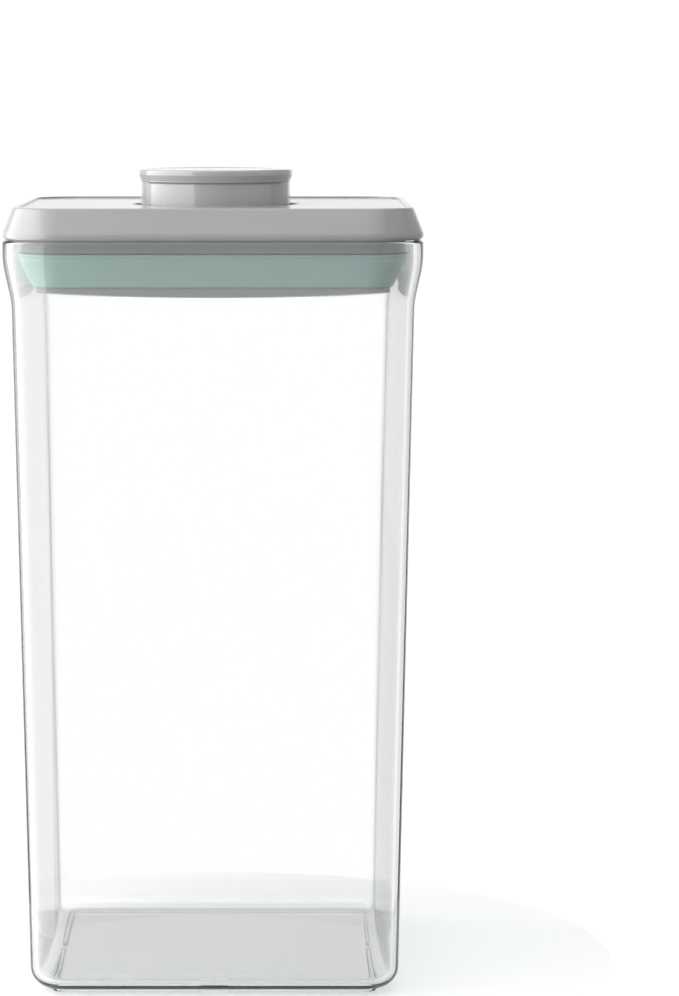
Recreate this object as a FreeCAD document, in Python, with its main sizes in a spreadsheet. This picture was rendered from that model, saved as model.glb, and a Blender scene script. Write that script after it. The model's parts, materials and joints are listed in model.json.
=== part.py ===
import FreeCAD, Part
import math
import os
import Sketcher

# Food canister with a one-press lid, in millimetres.
# +Z is up, the front faces -Y and the origin is the middle of the foot, on the table.
# The lid parts are drawn in the lid's own height, where 0 is the lid's lower edge, and
# their Placement lifts them onto the jar.  Every square outline has its corner arcs about
# the same four centres, so a corner's radius is always the half width less corner_centre.

SIZES = [
    ("corner_centre", 47.0, "distance of the corner arc centres from both middle planes"),
    # jar
    ("jar_height", 237.7, "foot to rim"),
    ("foot_height", 1.2, "foot ribs below the floor"),
    ("foot_half", 51.5, "half width over the foot ribs"),
    ("foot_rib", 2.0, "width of a foot rib"),
    ("foot_gap", 8.4, "gap between foot ribs at the middle of a side"),
    ("floor_thick", 2.6, "jar floor"),
    ("floor_strip", 3.0, "corner radius of the floor's middle square"),
    ("wall", 2.4, "jar wall"),
    ("base_half", 58.3, "half width at the floor"),
    ("neck_half", 62.8, "half width where the flare starts"),
    ("rim_half", 65.5, "half width at the rim"),
    ("rim_wall", 3.0, "jar wall at the rim"),
    ("rim_round", 0.9, "rounding of the rim"),
    ("flare_low", 218.5, "height of the flare's lower bend"),
    ("flare_high", 230.5, "height of the flare's upper bend"),
    ("flare_bend", 28.0, "radius of both flare bends"),
    ("base_bend", 6.5, "outside radius round the base"),
    # lid shell
    ("seat_gap", 0.3, "lid edge above the rim"),
    ("lid_half", 65.5, "half width at the lid's lower edge"),
    ("lid_top_half", 62.3, "half width at the lid's top"),
    ("lid_height", 10.0, "lower edge to the top of the border"),
    ("border_width", 2.0, "raised border round the lid's top"),
    ("border_height", 0.5, "raised border above the top face"),
    ("border_round", 0.15, "roundings of the border's inner side"),
    ("lid_skirt", 2.0, "straight part of the lid's edge"),
    ("lid_wall", 2.2, "lid shell wall"),
    ("lid_edge_round", 1.2, "rounding of the lid's lower edge"),
    ("lid_skirt_round", 3.0, "bend between the lid's edge and its sloping side"),
    ("lid_top_round", 0.8, "rounding of the lid's top edge"),
    ("lid_inner_round", 1.0, "rounding inside the lid shell"),
    ("lid_strip", 10.0, "corner radius of the lid top's middle square"),
    ("opening_radius", 26.8, "hole for the button in the lid"),
    ("opening_round", 0.4, "rounding of the button hole"),
    ("boss_radius", 3.2, "screw bosses of the lid shell"),
    ("boss_bore", 1.45, "screw bosses' bore"),
    ("screw_place", 42.0, "frame screws from both middle planes"),
    # lid frame
    ("band_half", 60.0, "half width of the plug band"),
    ("band_depth", 4.2, "plug band below the lid edge"),
    ("band_wall", 2.0, "plug band wall"),
    ("band_round", 0.5, "rounding of the band's lower edge"),
    ("frame_plate", 2.0, "frame plate"),
    ("flange_thick", 1.5, "frame flange inside the lid shell"),
    ("guide_bore", 24.5, "inside radius of the button guide"),
    ("guide_wall", 2.5, "button guide wall"),
    ("guide_top", 6.3, "top of the button guide"),
    ("guide_depth", 13.3, "button guide below the lid edge"),
    ("spoke_width", 7.0, "spokes that carry the hub"),
    ("hub_bore", 9.9, "hub bore"),
    ("hub_radius", 13.0, "hub radius"),
    ("hub_thick", 2.0, "hub and spokes"),
    ("lug_groove_half", 3.6, "half width of a lug groove"),
    ("lug_groove_radius", 25.9, "lug grooves' floor"),
    ("frame_screw_hole", 1.7, "frame screw holes"),
    # lever seats in the frame
    ("slot_foot", 12.2, "lever slots below the lid edge"),
    ("hook_slot_in", 1.9, "hook slots inward of the hook bars"),
    ("hook_slot_out", 3.2, "hook slots outward of the hook bars, and to each side"),
    ("bracket_in", 3.5, "pin brackets inward of the pin"),
    ("bracket_out", 2.5, "pin brackets outward of the pin"),
    ("bracket_below", 2.7, "pin brackets below the pin's axis"),
    ("bracket_thick", 3.5, "pin brackets"),
    # seal and seal plate
    ("seal_half", 60.4, "half width of the relaxed seal"),
    ("seal_inner_half", 50.5, "half width inside the seal"),
    ("seal_foot_half", 55.8, "half width at the seal's lower edge"),
    ("seal_depth", 14.3, "seal's lower edge below the lid edge"),
    ("seal_lip", 2.2, "straight lip at the seal's top"),
    ("seal_wall", 4.2, "seal's upper wall, and how far the hollow stays off its lip"),
    ("seal_foot_wall", 1.7, "height of the seal's foot"),
    ("seal_round", 0.5, "rounding of the seal's edges"),
    ("seal_lip_round", 0.8, "bend under the seal's lip and in its hollow"),
    ("plate_half", 55.2, "half width of the seal plate"),
    ("plate_thick", 1.2, "seal plate"),
    ("plate_hole", 29.5, "radius of the hole in the seal plate"),
    ("post_place", 34.0, "plate guide posts from both middle planes"),
    ("post_radius", 2.2, "plate guide posts"),
    ("post_bore", 1.0, "guide posts' screw bore"),
    ("post_top", 1.9, "top of the guide posts below the lid edge"),
    ("post_gap", 0.5, "guide posts to their holes"),
    ("hook_place", 46.0, "hook bars from the axis"),
    ("hook_depth", 3.7, "hook bars below the lid edge"),
    ("hook_radius", 1.2, "hook bars"),
    ("hook_leg", 2.6, "hook legs"),
    ("hook_gap", 0.4, "hook legs to the lever"),
    ("cover_edge", 1.8, "plate cover at the middle of a side"),
    ("cover_crown", 1.8, "how much further the cover's middle hangs"),
    ("dish_depth", 1.9, "dish inside the cover"),
    # button
    ("button_radius", 24.2, "button sleeve radius"),
    ("button_rim", 25.0, "button lip radius"),
    ("button_wall", 2.2, "button sleeve wall"),
    ("button_top", 20.8, "button lip above the lid edge"),
    ("cap_thick", 1.9, "cap's ceiling below the lip's top"),
    ("cap_neck", 0.7, "cap's straight neck above the sleeve"),
    ("lip_height", 1.8, "straight part of the lip"),
    ("lip_width", 1.9, "lip's flat top"),
    ("lip_round", 0.8, "rounding of the lip"),
    ("dish_step", 0.3, "step from the lip down to the dished face"),
    ("dish_low", 0.6, "middle of the dished face below the lip"),
    ("spigot_wall", 2.0, "cap's spigot wall"),
    ("spigot_depth", 1.0, "cap's spigot in the sleeve"),
    ("spigot_gap", 0.1, "spigot to the sleeve"),
    ("sleeve_height", 16.8, "button sleeve"),
    ("joint_gap", 0.05, "hairline where two parts meet"),
    ("lug_height", 2.0, "lugs that keep the button in the lid"),
    ("lug_reach", 1.2, "lugs beyond the sleeve"),
    ("lug_half", 3.2, "half width of a lug"),
    ("notch_height", 4.0, "lever notches in the sleeve"),
    ("notch_gap", 0.7, "lever to the side of its notch"),
    ("grip_angle", 63.5, "half angle of a grip recess"),
    ("grip_depth", 0.7, "grip recess"),
    ("grip_low", 5.0, "lower end of the grip recess"),
    ("sleeve_boss", 2.8, "screw bosses in the sleeve"),
    ("sleeve_boss_bore", 0.95, "sleeve bosses' bore"),
    ("sleeve_boss_top", 1.2, "sleeve bosses below the sleeve's top"),
    ("pusher_low", 1.75, "pusher's underside"),
    ("pusher_thick", 2.5, "pusher"),
    ("pusher_radius", 17.2, "pusher disc radius"),
    ("pusher_arm_half", 3.5, "half width of a pusher arm"),
    ("pusher_screw_place", 19.6, "pusher screws from the axis"),
    ("pusher_screw_hole", 1.1, "pusher screw holes"),
    # levers
    ("pivot_place", 41.0, "lever pins from the axis"),
    ("pivot_depth", 5.3, "lever pins below the lid edge"),
    ("long_arm", 25.0, "pin to inner tip"),
    ("short_arm", 5.0, "pin to outer tip"),
    ("lever_thick", 2.5, "lever blade"),
    ("lever_width", 8.0, "lever blade"),
    ("lever_round", 1.2, "rounding of the lever's tips"),
    ("lever_boss", 1.3, "lever wall round the pin"),
    ("lever_tilt", 12.7, "lever's rise at rest, in degrees"),
    ("pin_radius", 1.5, "lever pin"),
    ("pin_reach", 3.5, "lever pin beyond each side of the lever"),
    # latch
    ("latch_bore", 8.2, "latch guide bore"),
    ("latch_wall", 1.5, "latch guide wall"),
    ("latch_top", 7.5, "top of the latch guide"),
    ("latch_flange", 1.5, "latch guide's flange on the hub"),
    ("latch_round", 0.3, "rounding of the latch parts"),
    ("rib_low", 0.9, "lower end of the latch ribs"),
    ("rib_half", 0.4, "half width of ribs and fins"),
    ("rotor_low", 7.2, "underside of the latch rotor"),
    ("rotor_radius", 7.0, "latch rotor"),
    ("rotor_high", 4.0, "latch rotor height"),
    ("running_fit", 0.1, "radial play of the parts that turn"),
    ("fin_low", 0.4, "fins above the rotor's underside"),
    ("fin_top", 1.0, "fins below the rotor's top"),
    ("fin_play", 0.2, "fins to the latch guide bore"),
    ("latch_pin", 3.9, "pin on the cap that centres the rotor"),
    ("washer_thick", 0.5, "rotor washer"),
    ("washer_play", 0.04, "washer below the rotor"),
    ("washer_gap", 0.7, "washer round the cap's pin"),
    ("spring_radius", 5.6, "coil centre line"),
    ("spring_wire", 1.1, "spring wire"),
    ("spring_seat", 12.8, "spring seat below the lid edge"),
    ("spring_floor", 1.2, "latch guide floor under the spring"),
    ("spring_play", 0.02, "spring below the washer"),
    # screws
    ("frame_head", 1.7, "frame screw heads"),
    ("frame_head_radius", 3.0, "frame screw heads"),
    ("frame_shank", 1.4, "frame screw shank radius"),
    ("frame_shank_end", 5.5, "frame screw tips above the lid edge"),
    ("plate_head", 1.8, "plate screw heads"),
    ("plate_head_radius", 3.4, "plate screw heads"),
    ("plate_shank", 0.95, "plate screw shank radius"),
    ("plate_shank_end", 9.0, "plate screw tips below the lid edge"),
    ("pusher_head", 1.4, "pusher screw heads"),
    ("pusher_head_radius", 2.0, "pusher screw heads"),
    ("pusher_shank", 0.9, "pusher screw shank radius"),
    ("pusher_shank_end", 10.0, "pusher screw tips above the lid edge"),
]

CORNERS = [(1, 1), (-1, 1), (-1, -1), (1, -1)]
LEVER_SIDES = [("right", 0), ("back", 90), ("left", 180), ("front", 270)]
FIT_GAP = 0.3
OVERLAP = 0.5  # how far one feature reaches into the next, so that they fuse
PAST = 1.0  # how far a cut runs past the surface
COIL_TURNS = 6
SOCKET_DEPTH = 0.6  # share of a screw head's height
SOCKET_RADIUS = 0.5  # share of a screw head's radius


class Dim:
    """A length that knows its value and the sheet expression it comes from."""

    def __init__(self, value, text):
        self.value = value
        self.text = text

    def joined(self, sign, other, value):
        return Dim(value, f"({self.text} {sign} {as_dim(other).text})")

    def __add__(self, other):
        return self.joined("+", other, self.value + as_dim(other).value)

    def __sub__(self, other):
        return self.joined("-", other, self.value - as_dim(other).value)

    def __mul__(self, factor):
        return self.joined("*", factor, self.value * factor)

    def __neg__(self):
        return self * -1


def as_dim(number):
    return number if isinstance(number, Dim) else Dim(float(number), f"{number:.6g}")


doc = FreeCAD.newDocument("canister")
sheet = doc.addObject("Spreadsheet::Sheet", "Sizes")


class Sizes:
    """The driving dimensions, one attribute for each cell's alias."""


size = Sizes()
for row, (alias, number, meaning) in enumerate(SIZES, start=1):
    sheet.set(f"A{row}", meaning)
    sheet.set(f"B{row}", f"{number:g}")
    sheet.setAlias(f"B{row}", alias)
    setattr(size, alias, Dim(number, f"Sizes.{alias}"))
doc.recompute()

LID_EDGE = size.jar_height + size.seat_gap


# ---------------------------------------------------------------- drawing helpers

def bind(thing, prop, dim):
    """Sets a property from the sheet."""
    thing.setExpression(prop, as_dim(dim).text)


def new_body(label, height=None, turn=0.0):
    """A body whose own zero height stands at `height`, turned about the vertical axis."""
    body = doc.addObject("PartDesign::Body", label)
    body.Label = label
    body.Placement = FreeCAD.Placement(
        FreeCAD.Vector(0, 0, 0), FreeCAD.Rotation(FreeCAD.Vector(0, 0, 1), turn)
    )
    if height is not None:
        bind(body, "Placement.Base.z", height)
    return body


def origin_feature(body, role):
    for feature in body.Origin.OriginFeatures:
        if feature.Role == role:
            return feature
    raise ValueError(role)


def new_sketch(body, name, plane="XY_Plane", offset=0.0, turn=0.0):
    """A sketch on one of the body's own planes, moved along that plane's normal and turned in it."""
    sketch = body.newObject("Sketcher::SketchObject", name)
    sketch.AttachmentSupport = [(origin_feature(body, plane), "")]
    sketch.MapMode = "FlatFace"
    sketch.AttachmentOffset = FreeCAD.Placement(
        FreeCAD.Vector(0, 0, 0), FreeCAD.Rotation(FreeCAD.Vector(0, 0, 1), turn)
    )
    bind(sketch, "AttachmentOffset.Base.z", offset)
    return sketch


def fix_coordinate(sketch, geo, pos, axis, dim):
    """Holds one coordinate of a sketch point at a sheet value."""
    dim = as_dim(dim)
    if dim.value == 0.0:
        sketch.addConstraint(Sketcher.Constraint("PointOnObject", geo, pos, -2 if axis == "X" else -1))
        return
    kind = "Distance" + axis
    index = sketch.addConstraint(Sketcher.Constraint(kind, -1, 1, geo, pos, dim.value))
    sketch.setExpression(f"Constraints[{index}]", dim.text)


def add_circle(sketch, x, y, radius):
    """A circle with its centre and radius held."""
    x, y, radius = as_dim(x), as_dim(y), as_dim(radius)
    up = FreeCAD.Vector(0, 0, 1)
    geo = sketch.addGeometry(Part.Circle(FreeCAD.Vector(x.value, y.value, 0), up, radius.value), False)
    fix_coordinate(sketch, geo, 3, "X", x)
    fix_coordinate(sketch, geo, 3, "Y", y)
    index = sketch.addConstraint(Sketcher.Constraint("Radius", geo, radius.value))
    sketch.setExpression(f"Constraints[{index}]", radius.text)


def rounding_arc(before, corner, after, radius):
    """The arc that rounds a corner, and its points where it leaves each side."""
    into = (corner - before).normalize()
    out = (after - corner).normalize()
    half_turn = into.getAngle(out) / 2
    reach = radius * math.tan(half_turn)
    start = corner - into * reach
    end = corner + out * reach
    inward = (out - into).normalize()
    centre = corner + inward * (radius / math.cos(half_turn))
    turns_left = into.cross(out).z > 0
    first, last = (start, end) if turns_left else (end, start)
    circle = Part.Circle(centre, FreeCAD.Vector(0, 0, 1), radius)
    low = math.atan2(first.y - centre.y, first.x - centre.x)
    high = math.atan2(last.y - centre.y, last.x - centre.x)
    if high < low:
        high += 2 * math.pi
    return Part.ArcOfCircle(circle, low, high), start, end, turns_left


def add_outline(sketch, corners):
    """A closed outline through (x, y) or (x, y, radius) corners, where radius rounds the corner."""
    corners = [tuple(as_dim(number) for number in corner) for corner in corners]
    points = [FreeCAD.Vector(corner[0].value, corner[1].value, 0) for corner in corners]
    count = len(corners)
    leave = list(points)
    arrive = list(points)
    arcs = {}
    for i, corner in enumerate(corners):
        if len(corner) == 3:
            arc, arrive[i], leave[i], turns_left = rounding_arc(
                points[i - 1], points[i], points[(i + 1) % count], corner[2].value
            )
            arcs[i] = (sketch.addGeometry(arc, False), turns_left)
    lines = []
    for i in range(count):
        side = Part.LineSegment(leave[i], arrive[(i + 1) % count])
        lines.append(sketch.addGeometry(side, False))
    for i, corner in enumerate(corners):
        before, after = lines[i - 1], lines[i]
        if i not in arcs:
            sketch.addConstraint(Sketcher.Constraint("Coincident", before, 2, after, 1))
            fix_coordinate(sketch, after, 1, "X", corner[0])
            fix_coordinate(sketch, after, 1, "Y", corner[1])
            continue
        geo, turns_left = arcs[i]
        first, last = (1, 2) if turns_left else (2, 1)
        sketch.addConstraint(Sketcher.Constraint("Tangent", before, 2, geo, first))
        sketch.addConstraint(Sketcher.Constraint("Tangent", geo, last, after, 1))
        index = sketch.addConstraint(Sketcher.Constraint("Radius", geo, corner[2].value))
        sketch.setExpression(f"Constraints[{index}]", corner[2].text)
        apex = sketch.addGeometry(Part.Point(points[i]), True)
        fix_coordinate(sketch, apex, 1, "X", corner[0])
        fix_coordinate(sketch, apex, 1, "Y", corner[1])
        sketch.addConstraint(Sketcher.Constraint("PointOnObject", apex, 1, before))
        sketch.addConstraint(Sketcher.Constraint("PointOnObject", apex, 1, after))


def round_square(half):
    """Corners of a rounded square, from the middle of its +X side."""
    half = as_dim(half)
    radius = half - size.corner_centre
    return [(half, 0)] + [(half * x, half * y, radius) for x, y in CORNERS]


def rectangle(x_low, x_high, y_low, y_high):
    return [(x_low, y_low), (x_high, y_low), (x_high, y_high), (x_low, y_high)]


# ---------------------------------------------------------------- solid helpers

def last_volume(body):
    solids = [item for item in body.Group if hasattr(item, "Shape") and item.Shape.Solids]
    return solids[-1].Shape.Volume if solids else 0.0


def check_feature(body, feature, before):
    """Recomputes, and checks that the feature changed the body the way its kind should."""
    doc.recompute()
    if "Invalid" in feature.State or feature.Shape.isNull() or not feature.Shape.isValid():
        raise RuntimeError(f"{body.Label}.{feature.Label} failed: {feature.State}")
    cuts = feature.TypeId in ("PartDesign::Pocket", "PartDesign::Groove")
    change = feature.Shape.Volume - before
    if abs(change) < 1e-3 or (change > 0) == cuts:
        raise RuntimeError(f"{body.Label}.{feature.Label} changed the volume by {change:.3f}")
    return feature


def drawn(sketch, outlines, circles):
    for corners in outlines:
        add_outline(sketch, corners)
    for x, y, radius in circles:
        add_circle(sketch, x, y, radius)


def pad(body, name, z_low, z_high, outlines=(), circles=(), turn=0.0):
    """Fills the drawing from z_low up to z_high."""
    before = last_volume(body)
    sketch = new_sketch(body, name + "_sketch", offset=z_low, turn=turn)
    drawn(sketch, outlines, circles)
    feature = body.newObject("PartDesign::Pad", name)
    feature.Profile = sketch
    bind(feature, "Length", as_dim(z_high) - z_low)
    return check_feature(body, feature, before)


def pocket(body, name, z_low, z_high, outlines=(), circles=(), turn=0.0):
    """Removes the drawing from z_high down to z_low."""
    before = last_volume(body)
    sketch = new_sketch(body, name + "_sketch", offset=z_high, turn=turn)
    drawn(sketch, outlines, circles)
    feature = body.newObject("PartDesign::Pocket", name)
    feature.Profile = sketch
    bind(feature, "Length", as_dim(z_high) - z_low)
    return check_feature(body, feature, before)


def side_feature(body, kind, name, width, outlines=(), circles=()):
    """A Pad or Pocket of an (x, z) drawing, `width` wide about the middle plane."""
    before = last_volume(body)
    sketch = new_sketch(body, name + "_sketch", "XZ_Plane")
    drawn(sketch, outlines, circles)
    feature = body.newObject("PartDesign::" + kind, name)
    feature.Profile = sketch
    feature.Midplane = True
    bind(feature, "Length", width)
    return check_feature(body, feature, before)


def revolve(body, name, corners):
    """Turns an (r, z) outline once round the vertical axis."""
    before = last_volume(body)
    sketch = new_sketch(body, name + "_sketch", "XZ_Plane")
    add_outline(sketch, corners)
    feature = body.newObject("PartDesign::Revolution", name)
    feature.Profile = sketch
    feature.ReferenceAxis = (origin_feature(body, "Z_Axis"), [""])
    feature.Angle = 360
    return check_feature(body, feature, before)


def groove_front(body, name, corners, angle):
    """Cuts an (r, z) outline round the vertical axis, through `angle` about the Y direction."""
    before = last_volume(body)
    sketch = new_sketch(body, name + "_sketch", "YZ_Plane")
    add_outline(sketch, corners)
    feature = body.newObject("PartDesign::Groove", name)
    feature.Profile = sketch
    feature.ReferenceAxis = (origin_feature(body, "Z_Axis"), [""])
    feature.Midplane = True
    bind(feature, "Angle", angle)
    return check_feature(body, feature, before)


def sweep_square(body, name, path_half, corners):
    """Runs an (x, z) outline round a rounded square."""
    path = new_sketch(body, name + "_path")
    add_outline(path, round_square(path_half))
    profile = new_sketch(body, name + "_profile", "XZ_Plane")
    add_outline(profile, corners)
    doc.recompute()
    feature = body.newObject("PartDesign::AdditivePipe", name)
    feature.Profile = profile
    feature.Spine = (path, [f"Edge{i + 1}" for i in range(len(path.Shape.Edges))])
    return check_feature(body, feature, 0.0)


def around(body, name, features, count=4):
    """Repeats features round the vertical axis."""
    before = last_volume(body)
    pattern = body.newObject("PartDesign::PolarPattern", name)
    pattern.Originals = features
    pattern.Axis = (origin_feature(body, "Z_Axis"), [""])
    pattern.Angle = 360
    pattern.Occurrences = count
    body.Tip = pattern
    doc.recompute()
    if "Invalid" in pattern.State or abs(pattern.Shape.Volume - before) < 1e-3:
        raise RuntimeError(f"{body.Label}.{name} repeats nothing")
    return pattern


def round_edges(body, name, radius, wanted):
    """Rounds the edges of the body's last feature for which wanted(edge) is true."""
    before = last_volume(body)
    base = body.Tip
    names = [f"Edge{i + 1}" for i, edge in enumerate(base.Shape.Edges) if wanted(edge)]
    fillet = body.newObject("PartDesign::Fillet", name)
    fillet.Base = (base, names)
    bind(fillet, "Radius", radius)
    doc.recompute()
    if "Invalid" in fillet.State or abs(fillet.Shape.Volume - before) < 1e-3:
        raise RuntimeError(f"{body.Label}.{name} rounds nothing")
    return fillet


def is_ring(edge, radius, z):
    """Whether an edge is a whole circle of this radius about the axis at this height."""
    curve = edge.Curve
    if curve.TypeId != "Part::GeomCircle":
        return False
    return abs(curve.Radius - as_dim(radius).value) < 1e-3 and abs(curve.Center.z - as_dim(z).value) < 1e-3


def four_places(distance):
    """(x, y) of the four corners of a square of this half width."""
    distance = as_dim(distance)
    return [(distance * x, distance * y) for x, y in CORNERS]


def screw_group(label, places, head_low, head_high, head_radius, shank_radius, shank_end):
    """Four socket screws in one node.  The shank runs from the head to shank_end, up or down."""
    up = as_dim(shank_end).value > as_dim(head_high).value
    screws = []
    for number, (x, y) in enumerate(places, start=1):
        head = doc.addObject("Part::Cylinder", f"{label}_head_{number}")
        shank = doc.addObject("Part::Cylinder", f"{label}_shank_{number}")
        socket = doc.addObject("Part::Prism", f"{label}_socket_{number}")
        head_height = as_dim(head_high) - head_low
        socket_height = head_height * SOCKET_DEPTH
        bind(head, "Radius", head_radius)
        bind(head, "Height", head_height)
        bind(shank, "Radius", shank_radius)
        bind(socket, "Circumradius", as_dim(head_radius) * SOCKET_RADIUS)
        bind(socket, "Height", socket_height)
        if up:
            bind(shank, "Height", as_dim(shank_end) - head_low - socket_height)
            shank_low, socket_low = as_dim(head_low) + socket_height, as_dim(head_low)
        else:
            bind(shank, "Height", as_dim(head_high) - shank_end - socket_height)
            shank_low, socket_low = as_dim(shank_end), as_dim(head_high) - socket_height
        for piece, low in ((head, as_dim(head_low)), (shank, shank_low), (socket, socket_low)):
            bind(piece, "Placement.Base.x", x)
            bind(piece, "Placement.Base.y", y)
            bind(piece, "Placement.Base.z", LID_EDGE + low)
        solid = doc.addObject("Part::MultiFuse", f"{label}_blank_{number}")
        solid.Shapes = [head, shank]
        screw = doc.addObject("Part::Cut", f"{label}_{number}")
        screw.Base = solid
        screw.Tool = socket
        screws.append(screw)
    return compound(label, screws)


def compound(label, solids):
    """One node of several separate solids."""
    group = doc.addObject("Part::Compound", label)
    group.Label = label
    group.Links = solids
    return group


# ---------------------------------------------------------------- jar

def make_container_body():
    """Clear jar: drafted square wall, flared mouth, rounded base and four L-shaped foot ribs."""
    body = new_body("container_body")
    floor_top = size.foot_height + size.floor_thick
    strip = size.corner_centre + size.floor_strip
    sweep_square(body, "wall_ring", size.base_half, [
        (strip, size.foot_height),
        (size.base_half, size.foot_height, size.base_bend),
        (size.neck_half, size.flare_low, size.flare_bend),
        (size.rim_half, size.flare_high, size.flare_bend),
        (size.rim_half, size.jar_height, size.rim_round),
        (size.rim_half - size.rim_wall, size.jar_height, size.rim_round),
        (size.rim_half - size.rim_wall, size.flare_high, size.flare_bend),
        (size.neck_half - size.wall, size.flare_low, size.flare_bend),
        (size.base_half - size.wall, floor_top, size.base_bend - size.wall),
        (strip, floor_top),
    ])
    pad(body, "floor", size.foot_height, floor_top, [round_square(strip + OVERLAP)])
    pad(body, "foot_ring", 0, size.foot_height,
        [round_square(size.foot_half), round_square(size.foot_half - size.foot_rib)])
    gap_half = size.foot_gap * 0.5
    reach = size.foot_half + PAST
    pocket(body, "foot_gaps_x", 0, size.foot_height, [rectangle(-reach, reach, -gap_half, gap_half)])
    pocket(body, "foot_gaps_y", 0, size.foot_height, [rectangle(-gap_half, gap_half, -reach, reach)])
    return body


# ---------------------------------------------------------------- lid shell and frame

def make_lid_shell():
    """Grey cover: skirt, sloping sides, bordered flat top with the button opening, screw bosses."""
    body = new_body("lid_shell", LID_EDGE)
    under_top = size.lid_height - size.lid_wall
    top_face = size.lid_height - size.border_height
    border_half = size.lid_top_half - size.border_width
    strip = size.corner_centre + size.lid_strip
    inner_half = size.lid_half - size.lid_wall
    sweep_square(body, "side_ring", size.band_half, [
        (strip, under_top),
        (size.lid_top_half - size.lid_wall, under_top, size.lid_inner_round),
        (inner_half, size.lid_skirt, size.lid_inner_round),
        (inner_half, 0),
        (size.lid_half, 0, size.lid_edge_round),
        (size.lid_half, size.lid_skirt, size.lid_skirt_round),
        (size.lid_top_half, size.lid_height, size.lid_top_round),
        (border_half, size.lid_height, size.border_round),
        (border_half, top_face, size.border_round),
        (strip, top_face),
    ])
    pad(body, "top", under_top, top_face,
        [round_square(strip + OVERLAP)], [(0, 0, size.opening_radius)])
    round_edges(body, "opening_edge", size.opening_round,
                lambda edge: is_ring(edge, size.opening_radius, top_face))
    boss_low = size.frame_plate - size.band_depth
    places = four_places(size.screw_place)
    circles = [(x, y, size.boss_radius) for x, y in places]
    circles += [(x, y, size.boss_bore) for x, y in places]
    pad(body, "screw_bosses", boss_low, under_top + OVERLAP, circles=circles)
    return body


def make_lid_frame():
    """Grey plug tray with the button guide, the spokes and hub, and the lever brackets."""
    body = new_body("lid_frame", LID_EDGE)
    plate_top = size.frame_plate - size.band_depth
    flange_top = size.seat_gap + size.flange_thick
    guide_radius = size.guide_bore + size.guide_wall
    pad(body, "plug", -size.band_depth, size.seat_gap, [round_square(size.band_half)])
    round_edges(body, "plug_edge", size.band_round,
                lambda edge: abs(edge.BoundBox.ZMax + size.band_depth.value) < 1e-3)
    pad(body, "flange", size.seat_gap, flange_top,
        [round_square(size.lid_half - size.lid_wall - FIT_GAP)])
    pocket(body, "tray", plate_top, flange_top, [round_square(size.band_half - size.band_wall)])
    pocket(body, "button_hole", -size.band_depth, plate_top, circles=[(0, 0, size.guide_bore)])
    pad(body, "guide", -size.guide_depth, size.guide_top,
        circles=[(0, 0, guide_radius), (0, 0, size.guide_bore)])
    hub_top = size.hub_thick - size.guide_depth
    pad(body, "hub", -size.guide_depth, hub_top,
        circles=[(0, 0, size.hub_radius), (0, 0, size.hub_bore)])
    spoke_half = size.spoke_width * 0.5
    spoke = pad(body, "spoke", -size.guide_depth, hub_top, turn=45.0, outlines=[
        rectangle(size.hub_radius - OVERLAP, size.guide_bore + OVERLAP, -spoke_half, spoke_half)
    ])
    around(body, "spokes", [spoke])
    groove = pocket(body, "lug_groove", hub_top, size.lug_height + FIT_GAP, turn=45.0, outlines=[
        rectangle(size.guide_bore - size.guide_wall, size.lug_groove_radius,
                  -size.lug_groove_half, size.lug_groove_half)
    ])
    around(body, "lug_grooves", [groove])
    add_lever_seats(body)
    holes = [(x, y, size.frame_screw_hole) for x, y in four_places(size.screw_place)]
    holes += [(x, y, size.post_radius + size.post_gap) for x, y in four_places(size.post_place)]
    pocket(body, "plate_holes", -size.band_depth, plate_top, circles=holes)
    return body


def add_lever_seats(body):
    """Four T-shaped slots for a lever and its hook, each with a pair of pin brackets."""
    slot_half = size.lever_width * 0.5 + FIT_GAP
    slot_in = size.hub_radius + PAST
    hook_low = size.hook_place - size.hook_slot_in
    hook_high = size.hook_place + size.hook_slot_out
    hook_half = slot_half + size.hook_slot_out
    slot = pocket(body, "lever_slot", -size.slot_foot, PAST, [[
        (slot_in, -slot_half),
        (hook_low, -slot_half),
        (hook_low, -hook_half),
        (hook_high, -hook_half),
        (hook_high, hook_half),
        (hook_low, hook_half),
        (hook_low, slot_half),
        (slot_in, slot_half),
    ]])
    around(body, "lever_slots", [slot])
    bracket_low = size.pivot_place - size.bracket_in
    bracket_high = size.pivot_place + size.bracket_out
    bracket_side = slot_half + size.bracket_thick
    brackets = pad(body, "brackets", -(size.pivot_depth + size.bracket_below), -size.band_depth, [
        rectangle(bracket_low, bracket_high, slot_half, bracket_side),
        rectangle(bracket_low, bracket_high, -bracket_side, -slot_half),
    ])
    holes = side_feature(body, "Pocket", "pin_hole", (bracket_side + PAST) * 2,
                         circles=[(size.pivot_place, -size.pivot_depth, size.pin_radius)])
    around(body, "bracket_sets", [brackets, holes])


# ---------------------------------------------------------------- seal and seal plate

def make_seal_ring():
    """Silicone ring: straight lip at the top, tapered wall, and a hollow inside so it can bulge."""
    body = new_body("seal_ring", LID_EDGE)
    low = size.joint_gap - size.seal_depth
    lip_low = -(size.band_depth + size.seal_lip)
    sweep_square(body, "section", size.seal_foot_half, [
        (size.seal_inner_half, low),
        (size.seal_foot_half, low, size.seal_round),
        (size.seal_half, lip_low, size.seal_lip_round),
        (size.seal_half, -size.band_depth, size.seal_round),
        (size.seal_inner_half, -size.band_depth),
        (size.seal_inner_half, lip_low),
        (size.seal_half - size.seal_wall, lip_low, size.seal_lip_round),
        (size.seal_inner_half, size.seal_foot_wall - size.seal_depth),
    ])
    return body


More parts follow.
